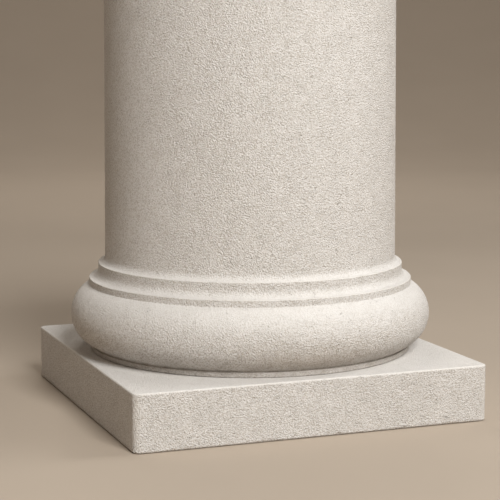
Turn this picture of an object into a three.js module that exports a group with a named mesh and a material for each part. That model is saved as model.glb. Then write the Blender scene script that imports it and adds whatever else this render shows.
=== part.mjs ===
// The foot of a plain round stone column: a square plinth, a round base moulding and the start of the shaft.
// Millimetres, +Z up. The origin is the centre of the plinth's underside, and the sides face along X and Y.

import * as THREE from 'three';

// Plinth
const PLINTH_HEIGHT = 56;
const PLINTH_CORNER_RADIUS = 8;
const PLINTH_ARRIS_RADIUS = 1.8;
const TORUS_OVERHANG = 4.2;

// Foot band under the torus, and the narrow groove between the two
const FOOT_BAND_HEIGHT = 5.5;
const FOOT_BAND_SETBACK = 19.9;
const FOOT_BAND_TOP_ROUND = 1.3;
const FOOT_BAND_BOTTOM_ROUND = 1.2;
const GROOVE_HEIGHT = 0.9;
const GROOVE_DEPTH = 1.5;

// Torus: its section is part of a circle, and it stands out past the lower fillet
const TORUS_SECTION_RADIUS = 33.3;
const TORUS_PROJECTION = 19.2;

// Lower fillet, with a hollow curve from its ledge up to the shaft's own fillet
const LOWER_FILLET_HEIGHT = 7;
const LOWER_FILLET_PROJECTION = 9.5;
const LOWER_FILLET_LEDGE = 1.2;
const LOWER_HOLLOW_HEIGHT = 8.1;

// Upper fillet, with a hollow curve up to the plain shaft
const UPPER_FILLET_HEIGHT = 7.2;
const UPPER_FILLET_PROJECTION = 7;
const UPPER_HOLLOW_HEIGHT = 7;

// Shaft, which narrows a little towards its cut top
const SHAFT_DIAMETER = 300;
const SHAFT_NARROWING = 2;
const SHAFT_LENGTH = 276.8;
const CUT_EDGE_CHAMFER = 0.6;

// Rounding of the fillets' sharp edges
const FILLET_ARRIS_RADIUS = 0.8;

// Fineness of the curved surfaces
const STEPS_AROUND = 72;
const STEPS_TORUS = 18;
const STEPS_HOLLOW = 6;
const STEPS_SMALL_ROUND = 3;
const STEPS_PLINTH_ROUND = 4;

// Radii and heights that follow from the sizes above
const shaftRadius = SHAFT_DIAMETER / 2;
const upperFilletRadius = shaftRadius + UPPER_FILLET_PROJECTION;
const lowerFilletRadius = upperFilletRadius + LOWER_FILLET_PROJECTION;
const torusRadius = lowerFilletRadius + TORUS_PROJECTION;
const footBandRadius = torusRadius - FOOT_BAND_SETBACK;
const plinthSide = 2 * (torusRadius - TORUS_OVERHANG);

const torusCentreRadius = torusRadius - TORUS_SECTION_RADIUS;
const grooveRadius = footBandRadius - GROOVE_DEPTH;
const torusLowAngle = -Math.acos((grooveRadius - torusCentreRadius) / TORUS_SECTION_RADIUS);
const torusHighAngle = Math.acos((lowerFilletRadius - torusCentreRadius) / TORUS_SECTION_RADIUS);
const torusFoot = FOOT_BAND_HEIGHT + GROOVE_HEIGHT;
const torusCentreHeight = torusFoot - TORUS_SECTION_RADIUS * Math.sin(torusLowAngle);
const torusHead = torusCentreHeight + TORUS_SECTION_RADIUS * Math.sin(torusHighAngle);
const lowerFilletTop = torusHead + LOWER_FILLET_HEIGHT;
// Rounded to a height that a mesh can hold, so that the moulding and the shaft meet without overlapping
const mouldingHeight = Math.fround(lowerFilletTop + LOWER_HOLLOW_HEIGHT);

// Points along an arc of an ellipse in the profile plane, with both ends, angles in radians
function arc(centreX, centreY, radiusX, radiusY, fromAngle, toAngle, steps) {
  const points = [];
  for (let i = 0; i <= steps; i += 1) {
    const angle = THREE.MathUtils.lerp(fromAngle, toAngle, i / steps);
    const x = centreX + radiusX * Math.cos(angle);
    const y = centreY + radiusY * Math.sin(angle);
    points.push(new THREE.Vector2(x, y));
  }
  return points;
}

// A rounded outer edge of a disc: the quarter circle from its wall (angle 0) to its top (a quarter turn)
function topEdge(radius, height, round) {
  return arc(radius - round, height - round, round, round, 0, Math.PI / 2, STEPS_SMALL_ROUND);
}

function bottomEdge(radius, round) {
  return arc(radius - round, round, round, round, -Math.PI / 2, 0, STEPS_SMALL_ROUND);
}

// A hollow quarter curve that starts level at its outer end and ends upright against the wall above
function hollow(wallRadius, foot, width, height) {
  return arc(wallRadius + width, foot + height, width, height, -Math.PI / 2, -Math.PI, STEPS_HOLLOW);
}

// A solid of revolution about Z from the outline between two points on the axis
function turned(outline, height) {
  const profile = [new THREE.Vector2(0, 0), ...outline, new THREE.Vector2(0, height)];
  const geometry = new THREE.LatheGeometry(profile, STEPS_AROUND);
  geometry.rotateX(Math.PI / 2);
  return geometry;
}

function plinthOutline() {
  const half = plinthSide / 2;
  const inner = half - PLINTH_CORNER_RADIUS;
  const corners = [
    [inner, inner, 0],
    [-inner, inner, 1],
    [-inner, -inner, 2],
    [inner, -inner, 3],
  ];
  const points = corners.flatMap(([x, y, quarter]) => {
    const start = (quarter * Math.PI) / 2;
    const end = start + Math.PI / 2;
    const radius = PLINTH_CORNER_RADIUS;
    return arc(x, y, radius, radius, start, end, STEPS_PLINTH_ROUND);
  });
  return new THREE.Shape(points);
}

function plinthGeometry() {
  const round = Math.min(PLINTH_ARRIS_RADIUS, 0.8 * PLINTH_CORNER_RADIUS, PLINTH_HEIGHT / 3);
  const geometry = new THREE.ExtrudeGeometry(plinthOutline(), {
    depth: PLINTH_HEIGHT - 2 * round,
    bevelEnabled: true,
    bevelThickness: round,
    bevelSize: round,
    bevelOffset: -round,
    bevelSegments: STEPS_PLINTH_ROUND,
  });
  geometry.translate(0, 0, round);
  return geometry;
}

function baseMouldingGeometry() {
  const edge = Math.min(FILLET_ARRIS_RADIUS, LOWER_FILLET_LEDGE, LOWER_FILLET_HEIGHT / 2);
  const hollowWidth = LOWER_FILLET_PROJECTION - LOWER_FILLET_LEDGE;
  const bottomRound = Math.min(FOOT_BAND_BOTTOM_ROUND, 0.4 * FOOT_BAND_HEIGHT);
  const topRound = Math.min(FOOT_BAND_TOP_ROUND, 0.5 * FOOT_BAND_HEIGHT, 0.9 * GROOVE_DEPTH);
  const outline = [
    ...bottomEdge(footBandRadius, bottomRound),
    ...topEdge(footBandRadius, FOOT_BAND_HEIGHT, topRound),
    new THREE.Vector2(grooveRadius, FOOT_BAND_HEIGHT),
    ...arc(
      torusCentreRadius,
      torusCentreHeight,
      TORUS_SECTION_RADIUS,
      TORUS_SECTION_RADIUS,
      torusLowAngle,
      torusHighAngle,
      STEPS_TORUS,
    ),
    ...topEdge(lowerFilletRadius, lowerFilletTop, edge),
    ...hollow(upperFilletRadius, lowerFilletTop, hollowWidth, LOWER_HOLLOW_HEIGHT),
  ];
  return turned(outline, mouldingHeight);
}

function shaftGeometry() {
  const edge = Math.min(FILLET_ARRIS_RADIUS, 0.2 * UPPER_FILLET_PROJECTION, UPPER_FILLET_HEIGHT / 2);
  const hollowWidth = UPPER_FILLET_PROJECTION - edge;
  const topRadius = shaftRadius - SHAFT_NARROWING;
  const outline = [
    new THREE.Vector2(upperFilletRadius, 0),
    ...topEdge(upperFilletRadius, UPPER_FILLET_HEIGHT, edge),
    ...hollow(shaftRadius, UPPER_FILLET_HEIGHT, hollowWidth, UPPER_HOLLOW_HEIGHT).slice(1),
    new THREE.Vector2(topRadius, SHAFT_LENGTH - CUT_EDGE_CHAMFER),
    new THREE.Vector2(topRadius - CUT_EDGE_CHAMFER, SHAFT_LENGTH),
  ];
  return turned(outline, SHAFT_LENGTH);
}

function stone(color) {
  return new THREE.MeshStandardMaterial({ color, roughness: 0.9, metalness: 0 });
}

function piece(name, geometry, color, height) {
  const mesh = new THREE.Mesh(geometry, stone(color));
  mesh.name = name;
  mesh.position.z = height;
  return mesh;
}

const columnBase = new THREE.Group();
columnBase.add(piece('plinth', plinthGeometry(), 0xd3cac0, 0));
columnBase.add(piece('base_moulding', baseMouldingGeometry(), 0xdbd3ca, PLINTH_HEIGHT));
columnBase.add(piece('shaft', shaftGeometry(), 0xd6cdc4, PLINTH_HEIGHT + mouldingHeight));

export default columnBase;
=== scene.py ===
"""Looks of a column base in pale stone: a square plinth, a round base moulding and the foot of a shaft.

Lengths are written in millimetres and turned into metres where the meshes are made.
"""

import math

import bpy
import numpy as np
from mathutils import Matrix, Vector


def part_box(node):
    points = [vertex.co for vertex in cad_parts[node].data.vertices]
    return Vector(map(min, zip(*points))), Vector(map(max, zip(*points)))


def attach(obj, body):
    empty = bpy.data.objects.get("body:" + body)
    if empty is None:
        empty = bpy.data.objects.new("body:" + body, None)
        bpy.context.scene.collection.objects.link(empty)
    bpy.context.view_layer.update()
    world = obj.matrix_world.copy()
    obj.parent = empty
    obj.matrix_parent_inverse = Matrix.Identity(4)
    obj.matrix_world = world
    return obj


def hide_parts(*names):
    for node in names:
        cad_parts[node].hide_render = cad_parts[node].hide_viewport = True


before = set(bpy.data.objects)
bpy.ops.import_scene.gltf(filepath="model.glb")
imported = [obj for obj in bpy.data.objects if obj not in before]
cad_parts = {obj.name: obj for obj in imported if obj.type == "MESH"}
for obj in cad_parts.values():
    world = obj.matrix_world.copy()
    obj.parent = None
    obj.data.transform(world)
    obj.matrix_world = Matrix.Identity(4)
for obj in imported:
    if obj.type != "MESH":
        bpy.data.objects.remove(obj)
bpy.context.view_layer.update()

MM = 0.001

# Sizes of the mouldings that the nodes' boxes don't give, in millimetres
PLINTH_CORNER_RADIUS = 8.0
PLINTH_ARRIS_RADIUS = 1.8
FOOT_BAND_HEIGHT = 5.5
FOOT_BAND_SETBACK = 19.9
FOOT_BAND_TOP_ROUND = 1.3
FOOT_BAND_BOTTOM_ROUND = 1.2
GROOVE_HEIGHT = 0.9
GROOVE_DEPTH = 1.5
TORUS_SECTION_RADIUS = 33.3
TORUS_PROJECTION = 19.2
LOWER_FILLET_PROJECTION = 9.5
LOWER_FILLET_LEDGE = 1.2
LOWER_HOLLOW_HEIGHT = 8.1
UPPER_FILLET_HEIGHT = 7.2
UPPER_FILLET_PROJECTION = 7.0
UPPER_HOLLOW_HEIGHT = 7.0
SHAFT_NARROWING = 2.0
CUT_EDGE_CHAMFER = 0.6
FILLET_ARRIS_RADIUS = 0.8

# Longest steps along an outline in millimetres: in general, beside an edge, on the plinth's top, on the
# shaft's cut top and on faces out of sight
STEP = 2.0
EDGE_STEP = 0.3
TOP_STEP = 3.0
CUT_FACE_STEP = 12.0
HIDDEN_STEP = 40.0

# Steps in a small round and in the foot band's lower round, columns in a plinth corner and around the round
# pieces, and the angle above which an edge is shaded sharp
ROUND_STEPS = 5
BAND_FOOT_STEPS = 3
COLUMNS_CORNER = 8
COLUMNS_MOULDING = 560
COLUMNS_SHAFT = 440
SHARP_DEG = 50

# The part of the plinth's half width beyond which its top is in sight past the round moulding
SEEN_TOP = 0.62

# Relief of the tooled surface, always inwards from the true outline, in millimetres
SKIN_DEPTH = 0.10
GRAIN_RELIEF = 0.03
GRAIN_SIZE = 4.5
TOOLING_RELIEF = 0.08
TOOLING_SIZE = 34.0
WEAR_RELIEF = 0.35
WEAR_SIZE = 7.0
# How strongly the plinth's upright corners are rubbed, which also paints a highlight on them
CORNER_WEAR_AND_HIGHLIGHT = 0.7

# Scales of the stone's noises, in features per metre, and the turn of their grid about X, Y and Z in radians
BROAD_SCALE = 9
CLOUDY_SCALE = 70
GRAIN_SCALE = 800
SPECKLE_SCALE = 720
PIT_SCALE = 420
PIT_PATCH_SCALE = 170
NOISE_TURN = (0.61, 0.47, 0.93)

# Height of the stone's bump, in millimetres
BUMP_HEIGHT = 2.35

# How far up the torus the painted shade and dirt of its foot reach, in millimetres
SHADE_AND_DIRT_HEIGHT = 26.0

# Floor and wall of the plain studio, in metres, with steps in its curve, columns around and its noise's scale
FLOOR_LEVEL = -0.0003
FLOOR_RADIUS = 6.0
SWEEP_RADIUS = 3.2
WALL_HEIGHT = 4.0
SWEEP_STEPS = 12
FLOOR_COLUMNS = 96
FLOOR_TONE_SCALE = 6

# The camera stands where the photograph was taken from
PICTURE_SIDE = 500
FOCAL_LENGTH_PX = 1600.0
CAMERA_DISTANCE = 1645.0
CAMERA_HEIGHT_ABOVE_PLINTH = 326.73
CAMERA_TURN_DEG = 20.9
CAMERA_PITCH_DEG = 7.872
SENSOR_WIDTH = 36.0


class Outline:
    """A profile of (radius, height, wear and highlight, shade and dirt) rows, from the axis at the bottom to
    the axis at the top.

    The first mark is 1 on a sharp edge that is rubbed and chipped and gets a painted highlight; the second is
    1 in a corner that gets painted shade and dirt.
    """

    def __init__(self, radius, height):
        self.rows = [(0.0, height, 0.0, 0.0)]
        self.line(radius, height, step=HIDDEN_STEP)

    def line(self, radius, height, wear_and_highlight=0.0, shade_and_dirt=0.0, step=STEP):
        """A straight run to a point, in steps, with a short step at each end to keep the edges crisp.

        The marks for wear and highlight and for painted shade and dirt belong to the end point.
        """
        r0, z0 = self.rows[-1][:2]
        length = math.hypot(radius - r0, height - z0)
        steps = max(1, math.ceil(length / step))
        stations = {i / steps for i in range(1, steps + 1)}
        if length > 4 * EDGE_STEP:
            stations |= {EDGE_STEP / length, 1 - EDGE_STEP / length}
        for t in sorted(stations):
            marks = (wear_and_highlight, shade_and_dirt) if t == 1 else (0.0, 0.0)
            self.rows.append((r0 + (radius - r0) * t, z0 + (height - z0) * t, *marks))

    def arc(self, centre, radii, start, end, steps, wear_and_highlight=0.0, shade_and_dirt=0.0):
        """An arc of an ellipse about a centre, angles in degrees, without its first point."""
        for i in range(1, steps + 1):
            a = math.radians(start + (end - start) * i / steps)
            r = centre[0] + radii[0] * math.cos(a)
            z = centre[1] + radii[1] * math.sin(a)
            self.rows.append((r, z, wear_and_highlight, shade_and_dirt))

    def shade_and_soil(self, foot, reach):
        """Painted shade and dirt that fade out from the foot upwards over the rows so far."""
        for i, (r, z, wear_and_highlight, shade_and_dirt) in enumerate(self.rows):
            fade = max(0.0, 1 - (z - foot) / reach)
            self.rows[i] = (r, z, wear_and_highlight, max(shade_and_dirt, fade))

    def array(self):
        return np.array(self.rows)


def lattice_noise(points, cell, seed):
    """Smooth noise between -1 and 1 with features of about one cell, the same at the same place."""
    scaled = points / cell
    base = np.floor(scaled).astype(np.int64)
    t = scaled - base
    t = t * t * (3 - 2 * t)
    total = np.zeros(len(points))
    for corner in range(8):
        offset = np.array([corner & 1, (corner >> 1) & 1, (corner >> 2) & 1])
        key = ((base + offset) * np.array([73856093, 19349663, 83492791])).sum(axis=1) + seed * 668265263
        key = (key ^ (key >> 13)) * 1274126177 & 0x7FFFFFFF
        key = (key ^ (key >> 16)) & 0xFFFF
        value = key / 32767.5 - 1
        total += value * np.prod(np.where(offset == 1, t, 1 - t), axis=1)
    return total


def grid_normals(grid):
    """Outward normals of a closed grid of rows, each row running anticlockwise seen from above."""
    across = np.roll(grid, -1, axis=1) - np.roll(grid, 1, axis=1)
    along = np.gradient(grid, axis=0)
    normals = np.cross(across, along)
    length = np.linalg.norm(normals, axis=2, keepdims=True)
    return normals / np.maximum(length, 1e-12)


def relief(points, wear_and_highlight):
    """How far each point of the stone's skin lies inside the true outline, in millimetres."""
    grain = lattice_noise(points, GRAIN_SIZE, 3) + 0.6 * lattice_noise(points, GRAIN_SIZE * 0.55, 4)
    tooling = lattice_noise(points, TOOLING_SIZE, 5) + 0.5 * lattice_noise(points, TOOLING_SIZE * 0.4, 6)
    depth = SKIN_DEPTH + 0.5 * GRAIN_RELIEF * (1 + grain / 1.6) + 0.5 * TOOLING_RELIEF * (1 + tooling / 1.5)
    rubbed_and_highlight = np.clip(lattice_noise(points, WEAR_SIZE, 7) + lattice_noise(points, WEAR_SIZE * 3, 8), 0, 2)
    return depth + wear_and_highlight * WEAR_RELIEF * rubbed_and_highlight


def stone_piece(name, node, surface, flat_heights, material):
    """Makes a closed piece from a grid of rows between two poles, with a rough skin, in its node's place.

    The rows at the flat heights keep their height, so that the faces that meet other pieces stay flat.
    """
    grid, wear_and_highlight, shade_and_dirt = surface
    rows, columns = grid.shape[:2]
    normals = grid_normals(grid)
    depth = relief(grid.reshape(-1, 3), wear_and_highlight.ravel()).reshape(rows, columns)
    depth[[0, -1]] = 0
    skin = grid - normals * depth[..., None]
    for height in flat_heights:
        flat = np.abs(grid[..., 2] - height) < 1e-3
        skin[..., 2] = np.where(flat, grid[..., 2], skin[..., 2])
    body = skin[1:-1].reshape(-1, 3)
    low_pole = skin[0].mean(axis=0)
    high_pole = skin[-1].mean(axis=0)
    verts = np.vstack([body, low_pole, high_pole]) * MM

    index = np.arange((rows - 2) * columns).reshape(rows - 2, columns)
    right = np.roll(index, -1, axis=1)
    quads = np.stack([index[:-1], right[:-1], right[1:], index[1:]], axis=2).reshape(-1, 4)
    bottom = [(len(body), int(b), int(a)) for a, b in zip(index[0], right[0])]
    top = [(len(body) + 1, int(a), int(b)) for a, b in zip(index[-1], right[-1])]

    mesh = bpy.data.meshes.new(name)
    mesh.from_pydata(verts.tolist(), [], quads.tolist() + bottom + top)
    # The marks for rubbed edges with a painted highlight and for painted shade with dirt go to the material
    for label, values in (("wear_and_highlight", wear_and_highlight), ("shade_and_dirt", shade_and_dirt)):
        layer = mesh.attributes.new(label, "FLOAT", "POINT")
        layer.data.foreach_set("value", np.append(values[1:-1].ravel(), [0, 0]).astype(np.float32))
    mesh.shade_smooth()
    mesh.set_sharp_from_angle(angle=math.radians(SHARP_DEG))
    mesh.update()

    piece = bpy.data.objects.new(name, mesh)
    bpy.context.scene.collection.objects.link(piece)
    mesh.materials.append(material)
    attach(piece, "root")
    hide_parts(node)


def turned_grid(outline, columns):
    """The rows of a solid of revolution about the Z axis, with marks for wear and painted highlight and for
    painted shade and dirt at each point.
    """
    angles = np.linspace(0, 2 * np.pi, columns, endpoint=False)
    ring = np.stack([np.cos(angles), np.sin(angles)], axis=1)
    grid = np.empty((len(outline), columns, 3))
    grid[..., :2] = outline[:, None, :1] * ring[None]
    grid[..., 2] = outline[:, 1:2]
    wear_and_highlight, shade_and_dirt = (np.repeat(outline[:, i:i + 1], columns, axis=1) for i in (2, 3))
    return grid, wear_and_highlight, shade_and_dirt


def node_sizes():
    """Driving sizes in millimetres, read from the CAD nodes' boxes."""
    plinth, moulding, shaft = (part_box(node)[1] for node in ("plinth", "base_moulding", "shaft"))
    upper_fillet = shaft.x / MM
    return {
        "plinth_half": plinth.x / MM,
        "plinth_top": plinth.z / MM,
        "moulding_top": moulding.z / MM,
        "shaft_top": shaft.z / MM,
        "upper_fillet": upper_fillet,
        "shaft": upper_fillet - UPPER_FILLET_PROJECTION,
    }


def moulding_outline(size, lower_fillet, torus):
    """Foot band, groove, torus, lower fillet and the hollow up to the shaft's fillet."""
    foot = size["plinth_top"]
    band = torus - FOOT_BAND_SETBACK
    band_top = foot + FOOT_BAND_HEIGHT
    centre_radius = torus - TORUS_SECTION_RADIUS
    low = -math.degrees(math.acos((band - GROOVE_DEPTH - centre_radius) / TORUS_SECTION_RADIUS))
    high = math.degrees(math.acos((lower_fillet - centre_radius) / TORUS_SECTION_RADIUS))
    centre_height = band_top + GROOVE_HEIGHT - TORUS_SECTION_RADIUS * math.sin(math.radians(low))
    fillet_top = size["moulding_top"] - LOWER_HOLLOW_HEIGHT
    arris = FILLET_ARRIS_RADIUS
    hollow_width = lower_fillet - LOWER_FILLET_LEDGE - size["upper_fillet"]

    bottom_round, top_round = FOOT_BAND_BOTTOM_ROUND, FOOT_BAND_TOP_ROUND
    path = Outline(band - bottom_round, foot)
    centre = (band - bottom_round, foot + bottom_round)
    # The foot band and the groove get painted shade with dirt
    path.arc(centre, (bottom_round,) * 2, -90, 0, BAND_FOOT_STEPS, shade_and_dirt=0.6)
    path.line(band, band_top - top_round, shade_and_dirt=0.5)
    path.arc((band - top_round, band_top - top_round), (top_round,) * 2, 0, 90, ROUND_STEPS, shade_and_dirt=0.5)
    path.line(band - GROOVE_DEPTH, band_top, shade_and_dirt=0.5)
    path.line(band - GROOVE_DEPTH, band_top + GROOVE_HEIGHT, shade_and_dirt=0.5)
    torus_steps = round(math.radians(high - low) * TORUS_SECTION_RADIUS / STEP)
    path.arc((centre_radius, centre_height), (TORUS_SECTION_RADIUS,) * 2, low, high, torus_steps)
    # Painted shade with dirt fades up the torus from its foot
    path.shade_and_soil(foot, SHADE_AND_DIRT_HEIGHT)
    path.line(lower_fillet, fillet_top - arris)
    # The lower fillet's arris is rubbed and gets a painted highlight
    path.arc((lower_fillet - arris, fillet_top - arris), (arris,) * 2, 0, 90, ROUND_STEPS, wear_and_highlight=1.0)
    path.line(lower_fillet - LOWER_FILLET_LEDGE, fillet_top)
    centre = (size["upper_fillet"] + hollow_width, fillet_top + LOWER_HOLLOW_HEIGHT)
    path.arc(centre, (hollow_width, LOWER_HOLLOW_HEIGHT), -90, -180, 2 * ROUND_STEPS)
    path.line(0, size["moulding_top"], step=HIDDEN_STEP)
    return path.array()


def shaft_outline(size):
    """Upper fillet, hollow, and the plain shaft that narrows a little to its cut top."""
    foot, top = size["moulding_top"], size["shaft_top"]
    fillet, shaft = size["upper_fillet"], size["shaft"]
    arris = FILLET_ARRIS_RADIUS
    fillet_top = foot + UPPER_FILLET_HEIGHT
    hollow_width = fillet - arris - shaft
    path = Outline(fillet, foot)
    path.line(fillet, fillet_top - arris)
    # The upper fillet's arris is rubbed and gets a painted highlight
    path.arc((fillet - arris, fillet_top - arris), (arris,) * 2, 0, 90, ROUND_STEPS, wear_and_highlight=1.0)
    centre = (shaft + hollow_width, fillet_top + UPPER_HOLLOW_HEIGHT)
    path.arc(centre, (hollow_width, UPPER_HOLLOW_HEIGHT), -90, -180, 2 * ROUND_STEPS)
    path.line(shaft - SHAFT_NARROWING, top - CUT_EDGE_CHAMFER)
    path.line(shaft - SHAFT_NARROWING - CUT_EDGE_CHAMFER, top)
    path.line(0, top, step=CUT_FACE_STEP)
    return path.array()


def plinth_grid(size):
    """The rows of a square slab with rounded corners and arrises, with marks for wear and painted highlight
    and for painted shade and dirt at each point.
    """
    half, top = size["plinth_half"], size["plinth_top"]
    arris = PLINTH_ARRIS_RADIUS
    path = Outline(half - arris, 0)
    # The bottom arris is rubbed with a painted highlight and gets painted shade with dirt at the floor
    path.arc((half - arris, arris), (arris,) * 2, -90, 0, ROUND_STEPS, wear_and_highlight=0.5, shade_and_dirt=0.4)
    path.line(half, top - arris)
    # The top arris is rubbed and gets a painted highlight
    path.arc((half - arris, top - arris), (arris,) * 2, 0, 90, ROUND_STEPS, wear_and_highlight=0.6)
    path.line(SEEN_TOP * half, top, step=TOP_STEP)
    path.line(0, top, step=HIDDEN_STEP)
    outline = path.array()

    inner = half - PLINTH_CORNER_RADIUS
    side_columns = round(2 * inner / STEP)
    along = list(np.linspace(-inner, inner, side_columns, endpoint=False))
    along = [along[0], along[0] + EDGE_STEP, *along[1:], inner - EDGE_STEP]
    side = [(half, y) for y in along]
    bend = [
        (inner + PLINTH_CORNER_RADIUS * math.cos(a), inner + PLINTH_CORNER_RADIUS * math.sin(a))
        for a in np.linspace(0, math.pi / 2, COLUMNS_CORNER, endpoint=False)
    ]
    quarter_turn = np.array([[0, -1], [1, 0]])
    plan = []
    for quarter in range(4):
        spin = np.linalg.matrix_power(quarter_turn, quarter)
        plan += [spin @ np.array(p) for p in side + bend]
    plan = np.array(plan)

    middle = np.clip(plan, -inner, inner)
    outward = (plan - middle) / PLINTH_CORNER_RADIUS
    grid = np.empty((len(outline), len(plan), 3))
    for i, (radius, height) in enumerate(outline[:, :2]):
        setback = half - radius
        if setback <= PLINTH_ARRIS_RADIUS:
            ring = plan - outward * setback
        else:
            edge = plan - outward * PLINTH_ARRIS_RADIUS
            ring = edge * radius / (half - PLINTH_ARRIS_RADIUS)
        grid[i, :, :2] = ring
        grid[i, :, 2] = height
    upright = (outline[:, 1] > 0) & (outline[:, 1] < top)
    # The upright corners are rubbed and get a painted highlight
    bent = CORNER_WEAR_AND_HIGHLIGHT * np.prod(np.abs(outward), axis=1) * 2
    wear_and_highlight = np.maximum(outline[:, 2:3], upright[:, None] * bent[None])
    shade_and_dirt = np.repeat(outline[:, 3:4], len(plan), axis=1)
    return grid, wear_and_highlight, shade_and_dirt


def add_node(tree, kind, **settings):
    node = tree.nodes.new(kind)
    for key, value in settings.items():
        setattr(node, key, value)
    return node


def feed(tree, value, socket):
    """Links another node's output to a socket, or sets a plain value on it."""
    if isinstance(value, bpy.types.NodeSocket):
        tree.links.new(value, socket)
    else:
        socket.default_value = value


def noise_node(tree, source, scale, detail, rough, offset=(0, 0, 0)):
    """A noise texture on the object's own coordinates, with its features at a real size.

    The coordinates are turned askew, so that no flat face lies along the noise's own grid and looks woven.
    """
    move = add_node(tree, "ShaderNodeMapping")
    move.inputs["Location"].default_value = offset
    move.inputs["Rotation"].default_value = NOISE_TURN
    tree.links.new(source, move.inputs["Vector"])
    noise = add_node(tree, "ShaderNodeTexNoise")
    noise.inputs["Scale"].default_value = scale
    noise.inputs["Detail"].default_value = detail
    noise.inputs["Roughness"].default_value = rough
    tree.links.new(move.outputs["Vector"], noise.inputs["Vector"])
    return noise.outputs["Fac"]


def ranged(tree, value, low, high, to_low, to_high):
    node = add_node(tree, "ShaderNodeMapRange")
    node.inputs["From Min"].default_value = low
    node.inputs["From Max"].default_value = high
    node.inputs["To Min"].default_value = to_low
    node.inputs["To Max"].default_value = to_high
    tree.links.new(value, node.inputs["Value"])
    return node.outputs["Result"]


def mixed(tree, factor, a, b):
    node = add_node(tree, "ShaderNodeMix", data_type="RGBA")
    for value, socket in ((factor, "Factor"), (a, "A"), (b, "B")):
        feed(tree, value, node.inputs[socket])
    return node.outputs["Result"]


def maths(tree, operation, a, b):
    node = add_node(tree, "ShaderNodeMath", operation=operation)
    feed(tree, a, node.inputs[0])
    feed(tree, b, node.inputs[1])
    return node.outputs["Value"]


# Colours of the stone and the floor, linear
STONE_PALE = (0.82, 0.79, 0.76, 1)
STONE_GREY = (0.70, 0.664, 0.62, 1)
GRAIN_LIGHT = (0.90, 0.875, 0.85, 1)
GRAIN_DARK = (0.52, 0.46, 0.39, 1)
# Pits painted dark, a painted shade in them
PIT_SHADE = (0.30, 0.26, 0.22, 1)
# Rubbed arrises painted lighter, partly worn stone and partly a painted highlight
ARRIS_WEAR_AND_HIGHLIGHT = (0.90, 0.865, 0.81, 1)
# Painted shade, with dirt, in corners, the groove and under the torus
SHADE_AND_DIRT_COLOUR = (0.42, 0.36, 0.30, 1)
FLOOR_DARK = (0.48, 0.40, 0.32, 1)
FLOOR_LIGHT = (0.51, 0.427, 0.345, 1)


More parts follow.
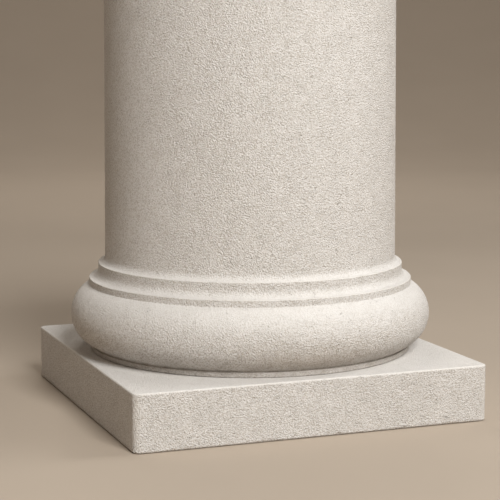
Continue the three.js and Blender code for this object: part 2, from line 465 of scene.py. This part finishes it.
def stone_material():
    """Fine-grained, matt pale stone with small pits in painted shade, rubbed arrises with a painted
    highlight, and painted shade with dirt in its corners.
    """
    material = bpy.data.materials.new("pale_stone")
    material.use_nodes = True
    tree = material.node_tree
    shader = tree.nodes["Principled BSDF"]
    place = add_node(tree, "ShaderNodeTexCoord").outputs["Object"]

    broad = noise_node(tree, place, BROAD_SCALE, 3, 0.55)
    cloudy = noise_node(tree, place, CLOUDY_SCALE, 3, 0.6, (3, 1, 2))
    grain = noise_node(tree, place, GRAIN_SCALE, 1, 0.6, (1, 5, 2))
    speckle = noise_node(tree, place, SPECKLE_SCALE, 1, 0.5, (7, 2, 4))
    pits = add_node(tree, "ShaderNodeTexVoronoi", feature="F1", distance="EUCLIDEAN")
    pits.inputs["Scale"].default_value = PIT_SCALE
    tree.links.new(place, pits.inputs["Vector"])
    pit_patches = noise_node(tree, place, PIT_PATCH_SCALE, 1, 0.5, (2, 8, 5))
    pit_size = ranged(tree, pit_patches, 0.42, 0.75, 0.0, 0.42)
    pit_edge = maths(tree, "SUBTRACT", pit_size, pits.outputs["Distance"])
    pit = ranged(tree, pit_edge, 0.0, 0.16, 0.0, 1.0)

    # Faces that look up get the least grain, pits and bump, upright ones more and hanging ones the most; in
    # the colour this paints tops lighter and hanging faces darker, as painted light and shade
    facing = add_node(tree, "ShaderNodeSeparateXYZ")
    tree.links.new(add_node(tree, "ShaderNodeNewGeometry").outputs["Normal"], facing.inputs["Vector"])
    rawness_and_facing_shade = ranged(tree, facing.outputs["Z"], -0.6, 0.8, 1.55, 0.4)

    # Masks of rubbed arrises with a painted highlight and of painted shade with dirt
    wear_and_highlight = add_node(tree, "ShaderNodeAttribute", attribute_name="wear_and_highlight").outputs["Fac"]
    shade_and_dirt = add_node(tree, "ShaderNodeAttribute", attribute_name="shade_and_dirt").outputs["Fac"]

    colour = mixed(tree, ranged(tree, broad, 0.3, 0.7, 0, 0.35), STONE_PALE, STONE_GREY)
    colour = mixed(tree, ranged(tree, cloudy, 0.4, 0.7, 0, 0.25), colour, STONE_GREY)
    # The stone's grain, made fainter on tops and stronger on hanging faces as painted light and shade
    light_grain = maths(tree, "MULTIPLY", ranged(tree, speckle, 0.51, 0.61, 0, 0.52), rawness_and_facing_shade)
    dark_grain = maths(tree, "MULTIPLY", ranged(tree, speckle, 0.49, 0.37, 0, 0.5), rawness_and_facing_shade)
    colour = mixed(tree, light_grain, colour, GRAIN_LIGHT)
    colour = mixed(tree, dark_grain, colour, GRAIN_DARK)
    # Pits painted dark as the shade in them, more on hanging faces
    pit_shade = maths(tree, "MULTIPLY", pit, maths(tree, "MULTIPLY", rawness_and_facing_shade, 0.4))
    colour = mixed(tree, pit_shade, colour, PIT_SHADE)
    # Rubbed arrises painted lighter: partly worn stone, partly a painted highlight
    rubbed_and_highlight = maths(tree, "MULTIPLY", wear_and_highlight, ranged(tree, cloudy, 0.35, 0.6, 0.25, 0.7))
    colour = mixed(tree, rubbed_and_highlight, colour, ARRIS_WEAR_AND_HIGHLIGHT)
    # Painted shade with dirt in corners, the groove and under the torus
    shaded_and_soiled = maths(tree, "MULTIPLY", shade_and_dirt, ranged(tree, cloudy, 0.3, 0.7, 0.25, 0.6))
    colour = mixed(tree, shaded_and_soiled, colour, SHADE_AND_DIRT_COLOUR)
    tree.links.new(colour, shader.inputs["Base Color"])

    tree.links.new(ranged(tree, grain, 0.3, 0.7, 0.95, 0.78), shader.inputs["Roughness"])
    shader.inputs["Specular IOR Level"].default_value = 0.3
    shader.inputs["IOR"].default_value = 1.5

    coarseness = maths(tree, "MULTIPLY", ranged(tree, cloudy, 0.38, 0.62, 0.9, 1.08), rawness_and_facing_shade)
    grains = maths(tree, "MULTIPLY", maths(tree, "SUBTRACT", grain, 0.5), coarseness)
    height = maths(tree, "SUBTRACT", grains, maths(tree, "MULTIPLY", pit, 0.25))
    bump = add_node(tree, "ShaderNodeBump")
    bump.inputs["Strength"].default_value = 1.0
    bump.inputs["Distance"].default_value = BUMP_HEIGHT * MM
    tree.links.new(height, bump.inputs["Height"])
    tree.links.new(bump.outputs["Normal"], shader.inputs["Normal"])
    return material


def floor_material():
    """A plain pale floor with a faint unevenness of tone."""
    material = bpy.data.materials.new("pale_floor")
    material.use_nodes = True
    tree = material.node_tree
    shader = tree.nodes["Principled BSDF"]
    place = add_node(tree, "ShaderNodeTexCoord").outputs["Object"]
    tone = noise_node(tree, place, FLOOR_TONE_SCALE, 3, 0.5)
    colour = mixed(tree, tone, FLOOR_DARK, FLOOR_LIGHT)
    tree.links.new(colour, shader.inputs["Base Color"])
    tree.links.new(ranged(tree, tone, 0.3, 0.7, 0.85, 0.95), shader.inputs["Roughness"])
    return material


def add_floor():
    """A level floor that curves up far away into a plain wall all round."""
    profile = [(0.0, 0.0), (1.0, 0.0), (2.0, 0.0), (FLOOR_RADIUS - SWEEP_RADIUS, 0.0)]
    for i in range(1, SWEEP_STEPS + 1):
        a = math.radians(90 * i / SWEEP_STEPS)
        reach = FLOOR_RADIUS - SWEEP_RADIUS * (1 - math.sin(a))
        profile.append((reach, SWEEP_RADIUS * (1 - math.cos(a))))
    profile.append((FLOOR_RADIUS, WALL_HEIGHT))
    around = FLOOR_COLUMNS
    verts = [(0.0, 0.0, FLOOR_LEVEL)]
    for radius, height in profile[1:]:
        for j in range(around):
            a = 2 * math.pi * j / around
            verts.append((radius * math.cos(a), radius * math.sin(a), height + FLOOR_LEVEL))
    faces = [(0, 1 + j, 1 + (j + 1) % around) for j in range(around)]
    for i in range(len(profile) - 2):
        low, high = 1 + i * around, 1 + (i + 1) * around
        for j in range(around):
            k = (j + 1) % around
            faces.append((low + j, high + j, high + k, low + k))
    mesh = bpy.data.meshes.new("floor")
    mesh.from_pydata(verts, [], faces)
    mesh.shade_smooth()
    mesh.materials.append(floor_material())
    floor = bpy.data.objects.new("floor", mesh)
    bpy.context.scene.collection.objects.link(floor)


def away(azimuth, elevation):
    """Unit vector from the object: azimuth 0 is the -Y side and 90 the +X side."""
    a, e = math.radians(azimuth), math.radians(elevation)
    return Vector((math.sin(a) * math.cos(e), -math.cos(a) * math.cos(e), math.sin(e)))


# Middle of the object, where the lamps are aimed, and how far they stand from it, in metres
OBJECT_MIDDLE = Vector((0, 0, 0.16))
LAMP_DISTANCE = 2.8

# Name, place, aim, side in metres, watts, colour
LIGHTS = (
    ("front", OBJECT_MIDDLE + LAMP_DISTANCE * away(2, 37), OBJECT_MIDDLE, 1.0, 72, (1.0, 1.0, 0.985)),
    ("side", OBJECT_MIDDLE + LAMP_DISTANCE * away(82, 38), OBJECT_MIDDLE, 1.0, 21, (1.0, 1.0, 0.985)),
    ("back", OBJECT_MIDDLE + LAMP_DISTANCE * away(172, 46), OBJECT_MIDDLE, 1.0, 13, (1.0, 0.95, 0.88)),
    ("left_fill", OBJECT_MIDDLE + LAMP_DISTANCE * away(-85, 42), OBJECT_MIDDLE, 1.0, 5.6, (1.0, 0.90, 0.79)),
    ("backdrop", 2.9 * away(160, 50), 5.5 * away(160, 14), 1.6, 26, (1.0, 0.96, 0.91)),
)
WORLD_COLOUR = (1.0, 0.875, 0.72, 1)
WORLD_STRENGTH = 0.075


def add_lights():
    for name, place, aim, side, watts, colour in LIGHTS:
        data = bpy.data.lights.new(name, "AREA")
        data.shape = "SQUARE"
        data.size = side
        data.energy = watts
        data.color = colour
        lamp = bpy.data.objects.new(name, data)
        lamp.location = place
        lamp.rotation_mode = "QUATERNION"
        lamp.rotation_quaternion = (aim - place).to_track_quat("-Z", "Y")
        bpy.context.scene.collection.objects.link(lamp)
    world = bpy.data.worlds.new("soft_room")
    world.use_nodes = True
    backdrop = world.node_tree.nodes["Background"]
    backdrop.inputs["Color"].default_value = WORLD_COLOUR
    backdrop.inputs["Strength"].default_value = WORLD_STRENGTH
    bpy.context.scene.world = world


def add_camera(plinth_top):
    data = bpy.data.cameras.new("camera")
    data.sensor_width = SENSOR_WIDTH
    data.lens = FOCAL_LENGTH_PX / PICTURE_SIDE * SENSOR_WIDTH
    data.clip_end = 100
    camera = bpy.data.objects.new("camera", data)
    turn, pitch = math.radians(CAMERA_TURN_DEG), math.radians(CAMERA_PITCH_DEG)
    height = plinth_top + CAMERA_HEIGHT_ABOVE_PLINTH
    place = Vector((-CAMERA_DISTANCE * math.sin(turn), -CAMERA_DISTANCE * math.cos(turn), height)) * MM
    tilt = Matrix.Rotation(-turn, 4, "Z") @ Matrix.Rotation(math.pi / 2 - pitch, 4, "X")
    camera.matrix_world = Matrix.Translation(place) @ tilt
    bpy.context.scene.collection.objects.link(camera)
    bpy.context.scene.camera = camera


size = node_sizes()
lower_fillet = size["upper_fillet"] + LOWER_FILLET_PROJECTION
torus = lower_fillet + TORUS_PROJECTION
add_camera(size["plinth_top"])
stone = stone_material()

stone_piece("plinth_stone", "plinth", plinth_grid(size), (0,), stone)

moulding = turned_grid(moulding_outline(size, lower_fillet, torus), COLUMNS_MOULDING)
moulding_faces = (size["plinth_top"], size["moulding_top"])
stone_piece("base_moulding_stone", "base_moulding", moulding, moulding_faces, stone)

shaft = turned_grid(shaft_outline(size), COLUMNS_SHAFT)
shaft_faces = (size["moulding_top"], size["shaft_top"])
stone_piece("shaft_stone", "shaft", shaft, shaft_faces, stone)

add_floor()
add_lights()
bpy.context.scene.view_settings.view_transform = "Standard"
